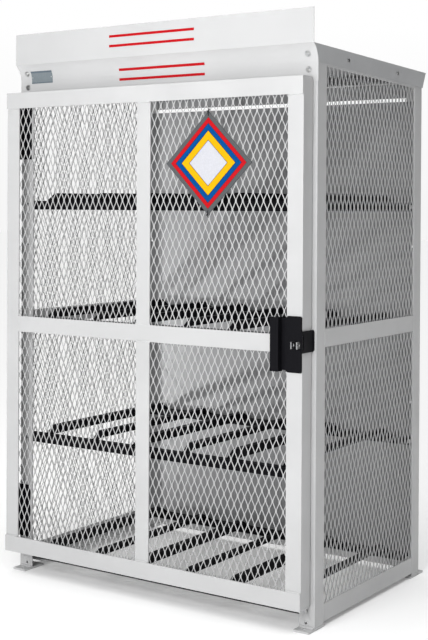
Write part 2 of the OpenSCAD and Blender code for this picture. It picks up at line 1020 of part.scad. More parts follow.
// Upper and lower bar between the mid rail and the rails' flat legs
module door_center_bars() {
    color(white_paint)
        in_place() {
            block([door_mid_x - leg / 2, stile_front, door_bottom + frame_t],
                  [door_mid_x + leg / 2, door_mesh_y, door_mid_z - leg / 2]);
            block([door_mid_x - leg / 2, stile_front, door_mid_z + leg / 2],
                  [door_mid_x + leg / 2, door_mesh_y, door_top - frame_t]);
        }
}

// Door panel behind the opening between two heights, left (-1) or right (1) of the center bar
module door_mesh(side, z_low, z_high) {
    low_x = side < 0 ? door_left + leg : door_mid_x + leg / 2;
    high_x = side < 0 ? door_mid_x - leg / 2 : door_right - leg;
    translate([low_x - mesh_lap, door_mesh_y + mesh_t, z_low - mesh_lap])
        rotate([90, 0, 0])
            mesh_panel(high_x - low_x + 2 * mesh_lap, z_high - z_low + 2 * mesh_lap);
}

module door_lower_left_mesh() {
    color(white_paint) in_place() door_mesh(-1, door_bottom + leg, door_mid_z - leg / 2);
}

module door_lower_right_mesh() {
    color(white_paint) in_place() door_mesh(1, door_bottom + leg, door_mid_z - leg / 2);
}

module door_upper_left_mesh() {
    color(white_paint) in_place() door_mesh(-1, door_mid_z + leg / 2, door_top - leg);
}

module door_upper_right_mesh() {
    color(white_paint) in_place() door_mesh(1, door_mid_z + leg / 2, door_top - leg);
}

// Latch

// Shallow case on the stile's face, open to the left for the slide
module latch_case() {
    low_z = door_mid_z - latch_h / 2;
    high_z = door_mid_z + latch_h / 2;
    color(black_paint)
        in_place()
            difference() {
                block([case_left, case_front, low_z], [door_right, stile_front, high_z]);
                block([case_left - cut, case_back, low_z + case_t],
                      [door_right - case_t, stile_front + cut, high_z - case_t]);
                block([door_right - case_t - cut, case_back, tongue_z - tongue_h / 2 - slide_play],
                      [door_right + cut, stile_front + cut, tongue_z + tongue_h / 2 + slide_play]);
                block([moving_ear_x - slide_play, case_front - cut,
                       ear_z - ear_h / 2 - slide_play],
                      [moving_ear_x + ear_t + slide_travel + slide_play, case_back + cut,
                       ear_z + ear_h / 2 + slide_play]);
            }
}

// Plate that slides behind the case, with a bent pull grip on the left and a tongue on the right
module latch_slide() {
    wall = slide_t;
    color(black_paint)
        in_place() {
            block([grip_right - wall, slide_front, door_mid_z - plate_half],
                  [plate_end, slide_back, door_mid_z + plate_half]);
            block([plate_end - cut, slide_front, tongue_z - tongue_h / 2],
                  [tongue_tip, slide_back, tongue_z + tongue_h / 2]);
            translate([0, 0, door_mid_z - latch_h / 2])
                linear_extrude(latch_h)
                    polygon([
                        [grip_right, slide_back], [grip_right, grip_front],
                        [grip_left, grip_front], [grip_left, grip_front + grip_out / 2],
                        [grip_left + wall, grip_front + grip_out / 2],
                        [grip_left + wall, grip_front + wall],
                        [grip_right - wall, grip_front + wall], [grip_right - wall, slide_back]
                    ]);
        }
}

// Plate welded edge-on to the post, with the slot that takes the tongue
module latch_keeper() {
    color(black_paint)
        in_place()
            difference() {
                block([keeper_x, keeper_front, tongue_z - keeper_h / 2],
                      [keeper_x + keeper_t, 0, tongue_z + keeper_h / 2]);
                block([keeper_x - cut, slide_front - keeper_clear,
                       tongue_z - tongue_h / 2 - keeper_clear],
                      [keeper_x + keeper_t + cut, slide_back + keeper_clear,
                       tongue_z + tongue_h / 2 + keeper_clear]);
            }
}

// Padlock ear that stands out to the front, with a hole for the shackle
module padlock_ear(x, y) {
    difference() {
        block([x, ear_front, ear_z - ear_h / 2], [x + ear_t, y, ear_z + ear_h / 2]);
        rod_x(x - cut, padlock_y, ear_z, padlock_r, ear_t + 2 * cut);
    }
}

module case_padlock_ear() {
    color(zinc) in_place() padlock_ear(fixed_ear_x, case_front);
}

module slide_padlock_ear() {
    color(zinc) in_place() padlock_ear(moving_ear_x, slide_front);
}

// Square plate hung on its corner in front of the door's mesh
module placard_plate() {
    color(placard_grey)
        in_place()
            translate([placard_x, door_mesh_y - seat_gap, door_bottom + placard_up])
                rotate([90, 45, 0])
                    translate([-placard_side / 2, -placard_side / 2, 0])
                        cube([placard_side, placard_side, placard_t]);
}

front_left_post();
front_right_post();
rear_left_post();
rear_right_post();
front_left_foot_plate();
front_right_foot_plate();
rear_left_foot_plate();
rear_right_foot_plate();
left_bottom_rail();
left_mid_rail();
left_top_rail();
right_bottom_rail();
right_mid_rail();
right_top_rail();
left_lower_mesh();
left_upper_mesh();
right_lower_mesh();
right_upper_mesh();
back_panel();
back_bottom_rail();
back_top_rail();
roof_pan();
roof_screws();
header_panel();
header_bolts();
shelf_1_front_rail();
shelf_1_rear_rail();
shelf_1_cradle_bars();
shelf_2_front_rail();
shelf_2_rear_rail();
shelf_2_cradle_bars();
shelf_3_front_rail();
shelf_3_rear_rail();
shelf_3_cradle_bars();
shelf_4_front_rail();
shelf_4_rear_rail();
shelf_4_cradle_bars();
shelf_bolts();
lower_hinge_post_leaf();
lower_hinge_door_leaf();
lower_hinge_pin();
upper_hinge_post_leaf();
upper_hinge_door_leaf();
upper_hinge_pin();
door_left_stile();
door_right_stile();
door_top_rail();
door_bottom_rail();
door_mid_rail();
door_center_bars();
door_lower_left_mesh();
door_lower_right_mesh();
door_upper_left_mesh();
door_upper_right_mesh();
latch_case();
latch_slide();
latch_keeper();
case_padlock_ear();
slide_padlock_ear();
placard_plate();
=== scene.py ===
"""Looks of a storage cage for gas cylinders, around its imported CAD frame.

Metres, in the frame of the CAD model: X across the front, Y to the back, Z up.
"""

import math

import bmesh
import bpy
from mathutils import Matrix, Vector


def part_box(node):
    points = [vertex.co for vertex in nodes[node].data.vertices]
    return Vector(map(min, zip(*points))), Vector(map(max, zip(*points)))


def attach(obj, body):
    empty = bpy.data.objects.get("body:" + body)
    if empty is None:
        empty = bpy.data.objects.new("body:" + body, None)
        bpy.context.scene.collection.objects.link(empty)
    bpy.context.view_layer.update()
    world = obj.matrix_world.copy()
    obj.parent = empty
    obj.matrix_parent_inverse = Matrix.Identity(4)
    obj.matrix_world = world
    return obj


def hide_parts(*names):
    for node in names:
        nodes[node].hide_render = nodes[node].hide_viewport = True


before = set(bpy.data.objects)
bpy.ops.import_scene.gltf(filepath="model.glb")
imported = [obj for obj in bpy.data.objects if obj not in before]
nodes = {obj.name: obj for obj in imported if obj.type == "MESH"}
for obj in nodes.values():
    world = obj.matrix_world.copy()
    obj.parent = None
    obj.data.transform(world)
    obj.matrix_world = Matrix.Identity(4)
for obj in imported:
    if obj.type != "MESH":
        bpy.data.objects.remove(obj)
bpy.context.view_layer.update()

# Colours, linear
WHITE_PAINT = (0.470, 0.472, 0.475)
ROOF_PAINT = (0.400, 0.405, 0.412)
# The inside of the back wall takes this dark grey instead of the white: painted shade
INSIDE_PAINTED_SHADE = (0.185, 0.188, 0.191)
RUBBED_WHITE = (0.66, 0.67, 0.68)
BLACK_PAINT = (0.006, 0.006, 0.0075)
RUBBED_BLACK = (0.035, 0.035, 0.037)
ZINC = (0.420, 0.430, 0.450)
PLATE_GREY = (0.082, 0.086, 0.090)
SIGN_RED = (0.405, 0.007, 0.012)
SIGN_BLUE = (0.001, 0.056, 0.215)
SIGN_YELLOW = (0.640, 0.345, 0.003)
SIGN_WHITE = (0.470, 0.475, 0.510)
SIGN_BLACK = (0.015, 0.013, 0.016)
LABEL_GREY = (0.170, 0.198, 0.215)
LABEL_BAND = (0.100, 0.125, 0.150)


# Materials

# How many times a pattern repeats on a metre
SPECKS = 420.0
RUBBED_PATCHES = 38.0
SMEARS = 26.0
PEEL_BUMPS = 650.0
PEEL_WAVES = 110.0
ZINC_TINTS = 160.0
ZINC_LINES = 240.0
FILM_GRAINS = 300.0
FILM_SMEARS = 30.0
FILM_BUMPS = 500.0

# Depths in metres. The waves of orange peel are deeper than its bumps by the factor given
PEEL = 0.00006
PEEL_WAVE_FACTOR = 1.6
ZINC_LINE_DEPTH = 0.00004
FILM_BUMP_DEPTH = 0.00002

# The values of its noise over which a pattern grows from nothing to full
CLOUD_RANGE = (0.35, 0.65)
SMEAR_RANGE = (0.3, 0.7)
SPECK_RANGE = (0.62, 0.78)
RUBBED_RANGE = (0.50, 0.68)

# How strong a full pattern is: a share of its colour, or factors of the surface's own colour
SPECK_SHARE = 0.35
RUBBED_SHARE = 0.75
SPECK_TONE = 0.93
COAT_TONES = (0.965, 1.02)
FILM_TONES = (0.95, 1.03)
ZINC_DARK = 0.85
ZINC_YELLOWISH = (1.1, 1.08, 1.0)
# The mesh is the frame's white made darker by this factor: painted shade
MESH_PAINTED_SHADE = 0.84
# The header is the frame's white made lighter by this factor: painted light
HEADER_PAINTED_LIGHT = 1.02

# Roughness from low to high. A coat's is added to the roughness that is given for it
COAT_ROUGH = (-0.05, 0.07)
ZINC_ROUGH = (0.24, 0.42)
FILM_ROUGH = (0.36, 0.46)
FILM_SHINE = 0.06

# How far paint is rubbed next to an edge, in metres, and with how many samples that is found
RUBBED_EDGE = 0.0016
EDGE_SAMPLES = 4

# Product of a face's normal and the rounded one, from a flat face to an edge
EDGE_RANGE = (0.97, 0.80)

# Y of a normal, from the faces on the front, which take the full painted shade of the back wall's
# inside, to those on the sides, which take none
FRONT_SHADE_RANGE = (-0.9, -0.5)


def map_range(tree, source, low, high, to_low, to_high):
    """A value's range from low to high carried over to another one, and held at its ends."""
    node = tree.nodes.new("ShaderNodeMapRange")
    for socket, value in zip(node.inputs[1:5], (low, high, to_low, to_high)):
        socket.default_value = value
    tree.links.new(source, node.inputs[0])
    return node.outputs[0]


class Graph:
    """A material's node tree with short calls for the nodes that the materials here share."""

    def __init__(self, name):
        self.material = bpy.data.materials.new(name)
        self.material.use_nodes = True
        self.tree = self.material.node_tree
        self.shader = self.tree.nodes["Principled BSDF"]
        self.place = self.tree.nodes.new("ShaderNodeTexCoord").outputs["Object"]

    def link(self, source, target):
        self.tree.links.new(source, target)

    def noise(self, scale, detail=2.0, roughness=0.5, stretch=None):
        node = self.tree.nodes.new("ShaderNodeTexNoise")
        node.inputs["Scale"].default_value = scale
        node.inputs["Detail"].default_value = detail
        node.inputs["Roughness"].default_value = roughness
        place = self.place
        if stretch:
            mapping = self.tree.nodes.new("ShaderNodeMapping")
            mapping.inputs["Scale"].default_value = stretch
            self.link(place, mapping.inputs["Vector"])
            place = mapping.outputs["Vector"]
        self.link(place, node.inputs["Vector"])
        return node.outputs["Fac"]

    def spread(self, source, low, high, to_low, to_high):
        return map_range(self.tree, source, low, high, to_low, to_high)

    def clouds(self, scale, detail=2.0):
        """Soft patches of noise from 0 to 1."""
        return self.spread(self.noise(scale, detail), *CLOUD_RANGE, 0.0, 1.0)

    def times(self, first, second):
        node = self.tree.nodes.new("ShaderNodeMath")
        node.operation = "MULTIPLY"
        self.link(first, node.inputs[0])
        self.link(second, node.inputs[1])
        return node.outputs[0]

    def mix(self, factor, first, second):
        node = self.tree.nodes.new("ShaderNodeMix")
        node.data_type = "RGBA"
        self.link(factor, node.inputs["Factor"])
        for socket, value in ((node.inputs[6], first), (node.inputs[7], second)):
            if isinstance(value, tuple):
                socket.default_value = (*value, 1.0)
            else:
                self.link(value, socket)
        return node.outputs[2]

    def edge(self, radius):
        """0 on flat faces, rising towards 1 at the edges."""
        bevel = self.tree.nodes.new("ShaderNodeBevel")
        bevel.samples = EDGE_SAMPLES
        bevel.inputs["Radius"].default_value = radius
        flat = self.tree.nodes.new("ShaderNodeNewGeometry")
        dot = self.tree.nodes.new("ShaderNodeVectorMath")
        dot.operation = "DOT_PRODUCT"
        self.link(bevel.outputs["Normal"], dot.inputs[0])
        self.link(flat.outputs["Normal"], dot.inputs[1])
        return self.spread(dot.outputs["Value"], *EDGE_RANGE, 0.0, 1.0)

    def front_shade_mask(self):
        """1 on faces of the object that look to the front, 0 on the rest: the mask of the painted
        shade on the back wall's inside.
        """
        parts = self.tree.nodes.new("ShaderNodeSeparateXYZ")
        self.link(self.tree.nodes["Texture Coordinate"].outputs["Normal"], parts.inputs[0])
        return self.spread(parts.outputs["Y"], *FRONT_SHADE_RANGE, 1.0, 0.0)

    def colour(self, source):
        self.link(source, self.shader.inputs["Base Color"])

    def roughness(self, smears, low, high):
        """Gloss that wanders between two values of roughness."""
        self.link(self.spread(smears, *SMEAR_RANGE, low, high), self.shader.inputs["Roughness"])

    def bump(self, *layers):
        """Bump from (height, depth in metres) layers, one on the other."""
        normal = None
        for height, depth in layers:
            node = self.tree.nodes.new("ShaderNodeBump")
            node.inputs["Distance"].default_value = depth
            self.link(height, node.inputs["Height"])
            if normal:
                self.link(normal, node.inputs["Normal"])
            normal = node.outputs["Normal"]
        self.link(normal, self.shader.inputs["Normal"])


def shade(colour, factor):
    return tuple(channel * factor for channel in colour)


def powder_coat(name, colour, rough, wear=None, peel=PEEL, patches=7.0, shine=0.5,
                front_shade_colour=None):
    """Sprayed and baked paint: fine orange peel, slight changes of tone, rubbed edges.

    With a front shade colour, the faces that look to the front have that colour instead, as painted
    shade.
    """
    darkest, lightest = (shade(colour, tone) for tone in COAT_TONES)
    smoothest, roughest = (rough + change for change in COAT_ROUGH)
    graph = Graph(name)
    graph.shader.inputs["Specular IOR Level"].default_value = shine
    tone = graph.mix(graph.clouds(patches, 3.0), darkest, lightest)
    speck = graph.spread(graph.noise(SPECKS, 1.0), *SPECK_RANGE, 0.0, SPECK_SHARE)
    tone = graph.mix(speck, tone, shade(colour, SPECK_TONE))
    if wear:
        rubbed = graph.noise(RUBBED_PATCHES, 4.0, 0.65)
        rubbed = graph.spread(rubbed, *RUBBED_RANGE, 0.0, RUBBED_SHARE)
        tone = graph.mix(graph.times(graph.edge(RUBBED_EDGE), rubbed), tone, wear)
    # Painted shade: the faces that look to the front take the darker colour
    if front_shade_colour:
        tone = graph.mix(graph.front_shade_mask(), tone, front_shade_colour)
    graph.colour(tone)
    graph.roughness(graph.noise(SMEARS, 3.0), smoothest, roughest)
    graph.bump((graph.noise(PEEL_BUMPS), peel),
               (graph.noise(PEEL_WAVES), peel * PEEL_WAVE_FACTOR))
    return graph.material


def plated(name, colour):
    """Bright zinc plate with faint drawn lines and a yellowish to bluish tint."""
    graph = Graph(name)
    graph.shader.inputs["Metallic"].default_value = 1.0
    yellowish = tuple(channel * factor for channel, factor in zip(colour, ZINC_YELLOWISH))
    graph.colour(graph.mix(graph.clouds(ZINC_TINTS), shade(colour, ZINC_DARK), yellowish))
    lines = graph.noise(ZINC_LINES, 3.0, 0.6, (1.0, 1.0, 6.0))
    graph.roughness(lines, *ZINC_ROUGH)
    graph.bump((lines, ZINC_LINE_DEPTH))
    return graph.material


def printed(name, colour):
    """Printed film on a flat plate: even colour, fine grain, slight sheen."""
    graph = Graph(name)
    darkest, lightest = (shade(colour, tone) for tone in FILM_TONES)
    graph.shader.inputs["Specular IOR Level"].default_value = FILM_SHINE
    graph.colour(graph.mix(graph.clouds(FILM_GRAINS), darkest, lightest))
    graph.roughness(graph.noise(FILM_SMEARS), *FILM_ROUGH)
    graph.bump((graph.noise(FILM_BUMPS), FILM_BUMP_DEPTH))
    return graph.material


frame_paint = powder_coat("frame_paint", WHITE_PAINT, 0.42, RUBBED_WHITE)
# The mesh's darker white is painted shade
mesh_paint_and_shade = powder_coat("mesh_paint_and_shade", shade(WHITE_PAINT, MESH_PAINTED_SHADE), 0.46)
# The header's lighter white is painted light
header_paint = powder_coat("header_paint", shade(WHITE_PAINT, HEADER_PAINTED_LIGHT), 0.40,
                           peel=0.00004, patches=3.0)
roof_paint = powder_coat("roof_paint", ROOF_PAINT, 0.48, peel=0.00005, patches=4.0)
# The back wall and its top rail are white outside; their faces that look to the front, on the
# inside, are painted dark grey as painted shade
back_paint_and_shade = powder_coat("back_paint_and_shade", WHITE_PAINT, 0.48, peel=0.00005, patches=4.0,
                         front_shade_colour=INSIDE_PAINTED_SHADE)
black_paint = powder_coat("black_paint", BLACK_PAINT, 0.40, RUBBED_BLACK, shine=0.04)
zinc = plated("zinc", ZINC)
plate_grey = printed("plate_grey", PLATE_GREY)
label_grey = printed("label_grey", LABEL_GREY)
label_band = printed("label_band", LABEL_BAND)
sign_black = printed("sign_black", SIGN_BLACK)
sign_red = printed("sign_red", SIGN_RED)
sign_blue = printed("sign_blue", SIGN_BLUE)
sign_yellow = printed("sign_yellow", SIGN_YELLOW)
sign_white = printed("sign_white", SIGN_WHITE)

BLACK_WORDS = ("shelf_", "hinge", "latch_")
ZINC_WORDS = ("bolts", "screws", "_pin", "padlock_ear")


def node_finish(name):
    if any(word in name for word in ZINC_WORDS):
        return zinc
    if any(word in name for word in BLACK_WORDS):
        return black_paint
    if name == "placard_plate":
        return plate_grey
    if name == "roof_pan":
        return roof_paint
    if name == "header_panel":
        return header_paint
    if name in ("back_panel", "back_top_rail"):
        return back_paint_and_shade
    return frame_paint


for name, node in nodes.items():
    node.data.materials.clear()
    node.data.materials.append(node_finish(name))


# Rounded edges on the CAD pieces

ROUND_EDGE = 0.0007
SAME_POINT = 0.00001
SHARP_ANGLE = math.radians(35)
SHEETS = ("header_panel", "roof_pan", "back_panel")

for name, node in nodes.items():
    if "mesh" in name or name in SHEETS:
        continue
    joined = node.modifiers.new("weld", "WELD")
    joined.merge_threshold = SAME_POINT
    bevel = node.modifiers.new("edges", "BEVEL")
    bevel.width = ROUND_EDGE
    bevel.segments = 2
    bevel.limit_method = "ANGLE"
    bevel.angle_limit = SHARP_ANGLE
    bevel.harden_normals = True


# at() takes places in the millimetres of the CAD source: X from the middle of the cage, Y from
# the front posts' face, Z from the floor

HALF_W = 557.5
post_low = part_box("front_left_post")[0]
ORIGIN = Vector((post_low.x + HALF_W / 1000, post_low.y, 0.0))


def at(x, y, z):
    return ORIGIN + Vector((x, y, z)) / 1000


def add_piece(name, points, faces, material, body):
    """A mesh piece that rides on a CAD body. Its points are in metres."""
    mesh = bpy.data.meshes.new(name)
    mesh.from_pydata([tuple(point) for point in points], [], faces)
    mesh.materials.append(material)
    mesh.validate()
    piece = bpy.data.objects.new(name, mesh)
    bpy.context.scene.collection.objects.link(piece)
    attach(piece, body)
    return piece


# Expanded metal: strands that climb in zigzags and touch their neighbours at the bonds

SHORT_WAY = 0.0234
LONG_WAY = 0.0508
BOND = 0.0076
STRAND_W = 0.0025
STRAND_T = 0.0015
DOOR_TILT = math.radians(12)
SIDE_TILT = math.radians(32)


def expanded_metal(across, up, into, tilt):
    """A sheet across one (low, high) range and up another; into(u, v, d) places a point."""
    along = (math.cos(tilt), math.sin(tilt))
    through = (-along[1], along[0])
    half_w = STRAND_W / 2
    half_t = STRAND_T / 2
    middle = STRAND_W * along[1] + half_t * along[0]
    section = [(half_w * a * along[0] + half_t * b * through[0],
                half_w * a * along[1] + half_t * b * through[1])
               for a, b in ((-1, -1), (1, -1), (1, 1), (-1, 1))]
    columns = round((across[1] - across[0]) / (SHORT_WAY / 2))
    step = (across[1] - across[0]) / columns
    rows = round((up[1] - up[0]) / (LONG_WAY / 2))
    rise = (up[1] - up[0]) / rows
    points = []
    faces = []
    for column in range(columns):
        line = []
        for row in range(rows + 1):
            on_left = (row + column) % 2 == 0
            side = half_w if on_left else -half_w
            u = across[0] + step * (column if on_left else column + 1) + side * along[0]
            d = middle + side * along[1]
            for v in (row * rise - BOND / 2, row * rise + BOND / 2):
                line.append((u, up[0] + min(max(v, 0.0), rows * rise), d))
        first = len(points)
        for u, v, d in line:
            points.extend(into(u + du, v, d + dd) for du, dd in section)
        for ring in range(len(line) - 1):
            base = first + 4 * ring
            for k in range(4):
                after = (k + 1) % 4
                faces.append((base + k, base + after, base + 4 + after, base + 4 + k))
        last = first + 4 * (len(line) - 1)
        faces.append((first + 3, first + 2, first + 1, first))
        faces.append((last, last + 1, last + 2, last + 3))
    return points, faces


def add_door_mesh(node_name):
    low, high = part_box(node_name)
    points, faces = expanded_metal((low.x, high.x), (low.z, high.z),
                                   lambda u, v, d: (u, low.y + d, v), DOOR_TILT)
    piece = add_piece(node_name + "_strands", points, faces, mesh_paint_and_shade, "door")
    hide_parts(node_name)


def add_side_mesh(node_name, side):
    low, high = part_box(node_name)
    face_x = high.x if side > 0 else low.x
    points, faces = expanded_metal((low.y, high.y), (low.z, high.z),
                                   lambda u, v, d: (face_x - side * d, u, v), -side * SIDE_TILT)
    piece = add_piece(node_name + "_strands", points, faces, mesh_paint_and_shade, "cage")
    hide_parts(node_name)


for level in ("lower", "upper"):
    for side in ("left", "right"):
        add_door_mesh("door_" + level + "_" + side + "_mesh")
    add_side_mesh("left_" + level + "_mesh", -1)
    add_side_mesh("right_" + level + "_mesh", 1)


# Shapes that the small pieces are made of. Their places are in metres

RIGHT = Vector((1, 0, 0))
BACK = Vector((0, 1, 0))
UP = Vector((0, 0, 1))


class Shape:
    """Points and faces that are gathered into one piece."""

    def __init__(self):
        self.points = []
        self.faces = []

    def join(self, rings, loop=False):
        """Skin rings of equally many points; loop also joins the last ring to the first."""
        first = len(self.points)
        size = len(rings[0])
        count = len(rings)
        for ring in rings:
            self.points.extend(ring)
        for step in range(count if loop else count - 1):
            here = first + size * step
            there = first + size * ((step + 1) % count)
            for k in range(size):
                after = (k + 1) % size
                self.faces.append((here + k, here + after, there + after, there + k))
        if not loop:
            self.faces.append(tuple(range(first, first + size)))
            self.faces.append(tuple(range(first + size * (count - 1), first + size * count)))

    def piece(self, name, material, body, slot, smooth=False):
        added = add_piece(name, self.points, self.faces, material, body)
        skin = bmesh.new()
        skin.from_mesh(added.data)
        bmesh.ops.recalc_face_normals(skin, faces=skin.faces)
        skin.to_mesh(added.data)
        skin.free()
        added.data.polygons.foreach_set("use_smooth", [smooth] * len(added.data.polygons))
        return added


WELD_STEP = 0.0013
WELD_SIDES = 5
WELD_ROOT = 0.0003
FILLET_CROWN = 0.25

# A bead's ripples, its slower waver and its thin ends, as shares of its full size
RIPPLE = 0.12
WAVER = 0.07
WAVER_TURN = 0.9
WAVER_START = 400.0
END_SHARE = 0.45
END_GROWTH = 0.2


def weld(shape, start, end, across, out, half, height, depth=WELD_ROOT):
    """A rippled bead on a seam: half is half its width, depth is how far its root goes in."""
    length = (end - start).length
    steps = max(8, round(length / WELD_STEP))
    rings = []
    for step in range(steps + 1):
        waver = math.sin(WAVER_TURN * step + WAVER_START * start.x)
        ripple = 1.0 + RIPPLE * (step % 2) + WAVER * waver
        swell = ripple * min(1.0, END_SHARE + END_GROWTH * min(step, steps - step))
        middle = start.lerp(end, step / steps)
        ring = [middle - out * depth]
        for turn in range(WELD_SIDES + 1):
            angle = math.pi * turn / WELD_SIDES
            ring.append(middle + across * (half * swell * math.cos(angle))
                        + out * (height * swell * math.sin(angle)))
        rings.append(ring)
    shape.join(rings)


def fillet(shape, start, end, one_way, other_way, leg):
    """A weld in a corner; the two ways run along its faces, away from the corner."""
    out = (one_way + other_way).normalized()
    across = (other_way - one_way).normalized()
    half = leg / math.sqrt(2)
    weld(shape, start + out * half, end + out * half, across, out, half, leg * FILLET_CROWN, half)


# A low round head, from its foot to its top: (share of the radius, share of the height)
HEAD = [(1.0, -0.1), (1.0, 0.18), (0.86, 0.62), (0.58, 0.92), (0.32, 1.0)]
PIT_RIM = 0.25
PIT_FLOOR = 0.06


def dome(shape, place, out, radius, height, pit=0.0, sides=12):
    """A low round head. A pit of that share of the height sinks its middle, as in a pop rivet."""
    profile = HEAD + [(PIT_RIM, 1.0 - pit), (PIT_FLOOR, 1.0 - pit)] if pit else HEAD
    one = out.orthogonal().normalized()
    other = out.cross(one)
    shape.join([[place + out * (height * up)
                 + one * (radius * wide * math.cos(math.tau * k / sides))
                 + other * (radius * wide * math.sin(math.tau * k / sides))
                 for k in range(sides)] for wide, up in profile])


# A direction that none of the wires runs in
OFF_WIRES = RIGHT + BACK * 0.01


def wire(shape, path, radius, loop=False, sides=8):
    """A round wire along a path of points."""
    count = len(path)
    rings = []
    for i, point in enumerate(path):
        before = path[i - 1] if i or loop else point
        after = path[(i + 1) % count] if i < count - 1 or loop else point
        along = (after - before).normalized()
        one = along.cross(OFF_WIRES).normalized()
        other = along.cross(one)
        rings.append([point + one * (radius * math.cos(math.tau * k / sides))
                      + other * (radius * math.sin(math.tau * k / sides)) for k in range(sides)])
    shape.join(rings, loop)


def spaced(low, high, pitch):
    """Places from low to high, evenly spaced by about a pitch, with half a space at each end."""
    count = max(1, round((high - low) / pitch))
    return [low + (high - low) * (i + 0.5) / count for i in range(count)]


# Seams stop this much short of the ends of what they join
SEAM_END = 0.002


def upright(x, y, low, high):
    """The two ends of an upright seam, over the height of a box."""
    return Vector((x, y, low.z + SEAM_END)), Vector((x, y, high.z - SEAM_END))


def crosswise(low_x, high_x, y, z):
    """The two ends of a level seam from left to right."""
    return Vector((low_x + SEAM_END, y, z)), Vector((high_x - SEAM_END, y, z))


def lengthwise(x, low_y, high_y, z):
    """The two ends of a level seam from front to back."""
    return Vector((x, low_y + SEAM_END, z)), Vector((x, high_y - SEAM_END, z))


# Welds of the cage: rails on posts, posts on foot plates, sheet on posts and rail, and keeper

SEAM_HALF = 0.0028
SEAM_HEIGHT = 0.0008
FOOT_LEG = 0.0052
PLATE_LEG = 0.0030
PLUG_R = 0.0062
PLUG_HEIGHT = 0.0006
PLUG_X = 0.531
PLUG_LEVELS = (0.150, 0.300, 0.680, 0.930, 1.310, 1.450)
PLUG_PITCH = 0.15
PLUG_RAIL_Z = 0.051

cage_welds = Shape()
for side, word in ((-1, "left"), (1, "right")):
    outward = RIGHT * side
    for rail in ("bottom_rail", "mid_rail"):
        low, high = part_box(word + "_" + rail)
        face = high.x if side > 0 else low.x
        for y in (low.y, high.y):
            weld(cage_welds, *upright(face, y, low, high), BACK, outward, SEAM_HALF, SEAM_HEIGHT)
    for place, forward in (("front", -BACK), ("rear", BACK)):
        low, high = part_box(place + "_" + word + "_post")
        face_y = low.y if place == "front" else high.y
        fillet(cage_welds, *crosswise(low.x, high.x, face_y, low.z), UP, forward, FOOT_LEG)
        face = high.x if side > 0 else low.x
        weld(cage_welds, *lengthwise(face, low.y, high.y, low.z), UP, outward, SEAM_HALF,
             SEAM_HEIGHT)

for rail in ("back_bottom_rail", "back_top_rail"):
    low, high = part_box(rail)
    for x in (low.x, high.x):
        weld(cage_welds, *upright(x, high.y, low, high), RIGHT, BACK, SEAM_HALF, SEAM_HEIGHT)

post_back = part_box("rear_right_post")[1].y
for z in PLUG_LEVELS:
    for x in (ORIGIN.x - PLUG_X, ORIGIN.x + PLUG_X):
        dome(cage_welds, Vector((x, post_back, z)), BACK, PLUG_R, PLUG_HEIGHT)
low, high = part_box("back_bottom_rail")
for x in spaced(low.x, high.x, PLUG_PITCH):
    dome(cage_welds, Vector((x, high.y, PLUG_RAIL_Z)), BACK, PLUG_R, PLUG_HEIGHT)
cage_welds.piece("cage_welds", frame_paint, "cage", "frame_paint", True)

keeper_welds = Shape()
low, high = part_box("latch_keeper")
for x, way in ((low.x, -RIGHT), (high.x, RIGHT)):
    fillet(keeper_welds, *upright(x, high.y, low, high), way, -BACK, PLATE_LEG)
keeper_welds.piece("keeper_welds", black_paint, "cage", "black_paint", True)

# Welds of the shelves: each bar's two feet on the rails. The bars' sizes are in millimetres

TOE_HALF = 0.0032
TOE_HEIGHT = 0.0021
TOE_OUT = 0.0008
SHELVES = 4
CYLINDER_PITCH = 354
BAR_GAP = 192
BAR_W = 25.4

for level in range(1, SHELVES + 1):
    shelf_welds = Shape()
    low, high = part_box("shelf_" + str(level) + "_cradle_bars")
    for place in (-1, 0, 1):
        for side in (-1, 1):
            x = ORIGIN.x + (place * CYLINDER_PITCH + side * BAR_GAP / 2) / 1000
            for y in (low.y - TOE_OUT, high.y + TOE_OUT):
                weld(shelf_welds, Vector((x - BAR_W / 2000, y, low.z)),
                     Vector((x + BAR_W / 2000, y, low.z)), BACK, UP, TOE_HALF, TOE_HEIGHT)
    shelf_welds.piece("shelf_" + str(level) + "_welds", black_paint, "cage", "black_paint", True)

# Welds of the door: rails over stiles and center bars, ground seams at the mid rail, latch case

GROUND_HALF = 0.0022
GROUND_HEIGHT = 0.00035
RAIL_LEG = 0.0034
SPOT_R = 0.0035
SPOT_HEIGHT = 0.0004

door_welds = Shape()
left_low, left_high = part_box("door_left_stile")
right_low, right_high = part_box("door_right_stile")
center_low, center_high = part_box("door_center_bars")
mid_low, mid_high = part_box("door_mid_rail")
top_low, top_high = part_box("door_top_rail")
bottom_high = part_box("door_bottom_rail")[1]
face = left_low.y
for x_low, x_high in ((left_low.x, left_high.x), (center_low.x, center_high.x),
                      (right_low.x, right_high.x)):
    for z, way in ((top_low.z, -UP), (bottom_high.z, UP)):
        fillet(door_welds, *crosswise(x_low, x_high, face, z), way, -BACK, RAIL_LEG)
for x, way in ((left_low.x, -RIGHT), (right_high.x, RIGHT)):
    for z in (left_low.z, left_high.z):
        weld(door_welds, *lengthwise(x, left_low.y, top_high.y, z), UP, way, GROUND_HALF,
             GROUND_HEIGHT)
weld(door_welds, Vector((mid_low.x, face, mid_low.z)), Vector((mid_low.x, face, mid_high.z)),
     RIGHT, -BACK, GROUND_HALF, GROUND_HEIGHT)
for z in (mid_low.z, mid_high.z):
    weld(door_welds, Vector((center_low.x, face, z)), Vector((center_high.x, face, z)),
         UP, -BACK, GROUND_HALF, GROUND_HEIGHT)
for x, z in ((center_low.x, mid_high.z), (center_high.x, mid_high.z), (center_high.x, mid_low.z)):
    dome(door_welds, Vector((x, face, z)), -BACK, SPOT_R, SPOT_HEIGHT)
door_welds.piece("door_welds", frame_paint, "door", "frame_paint", True)

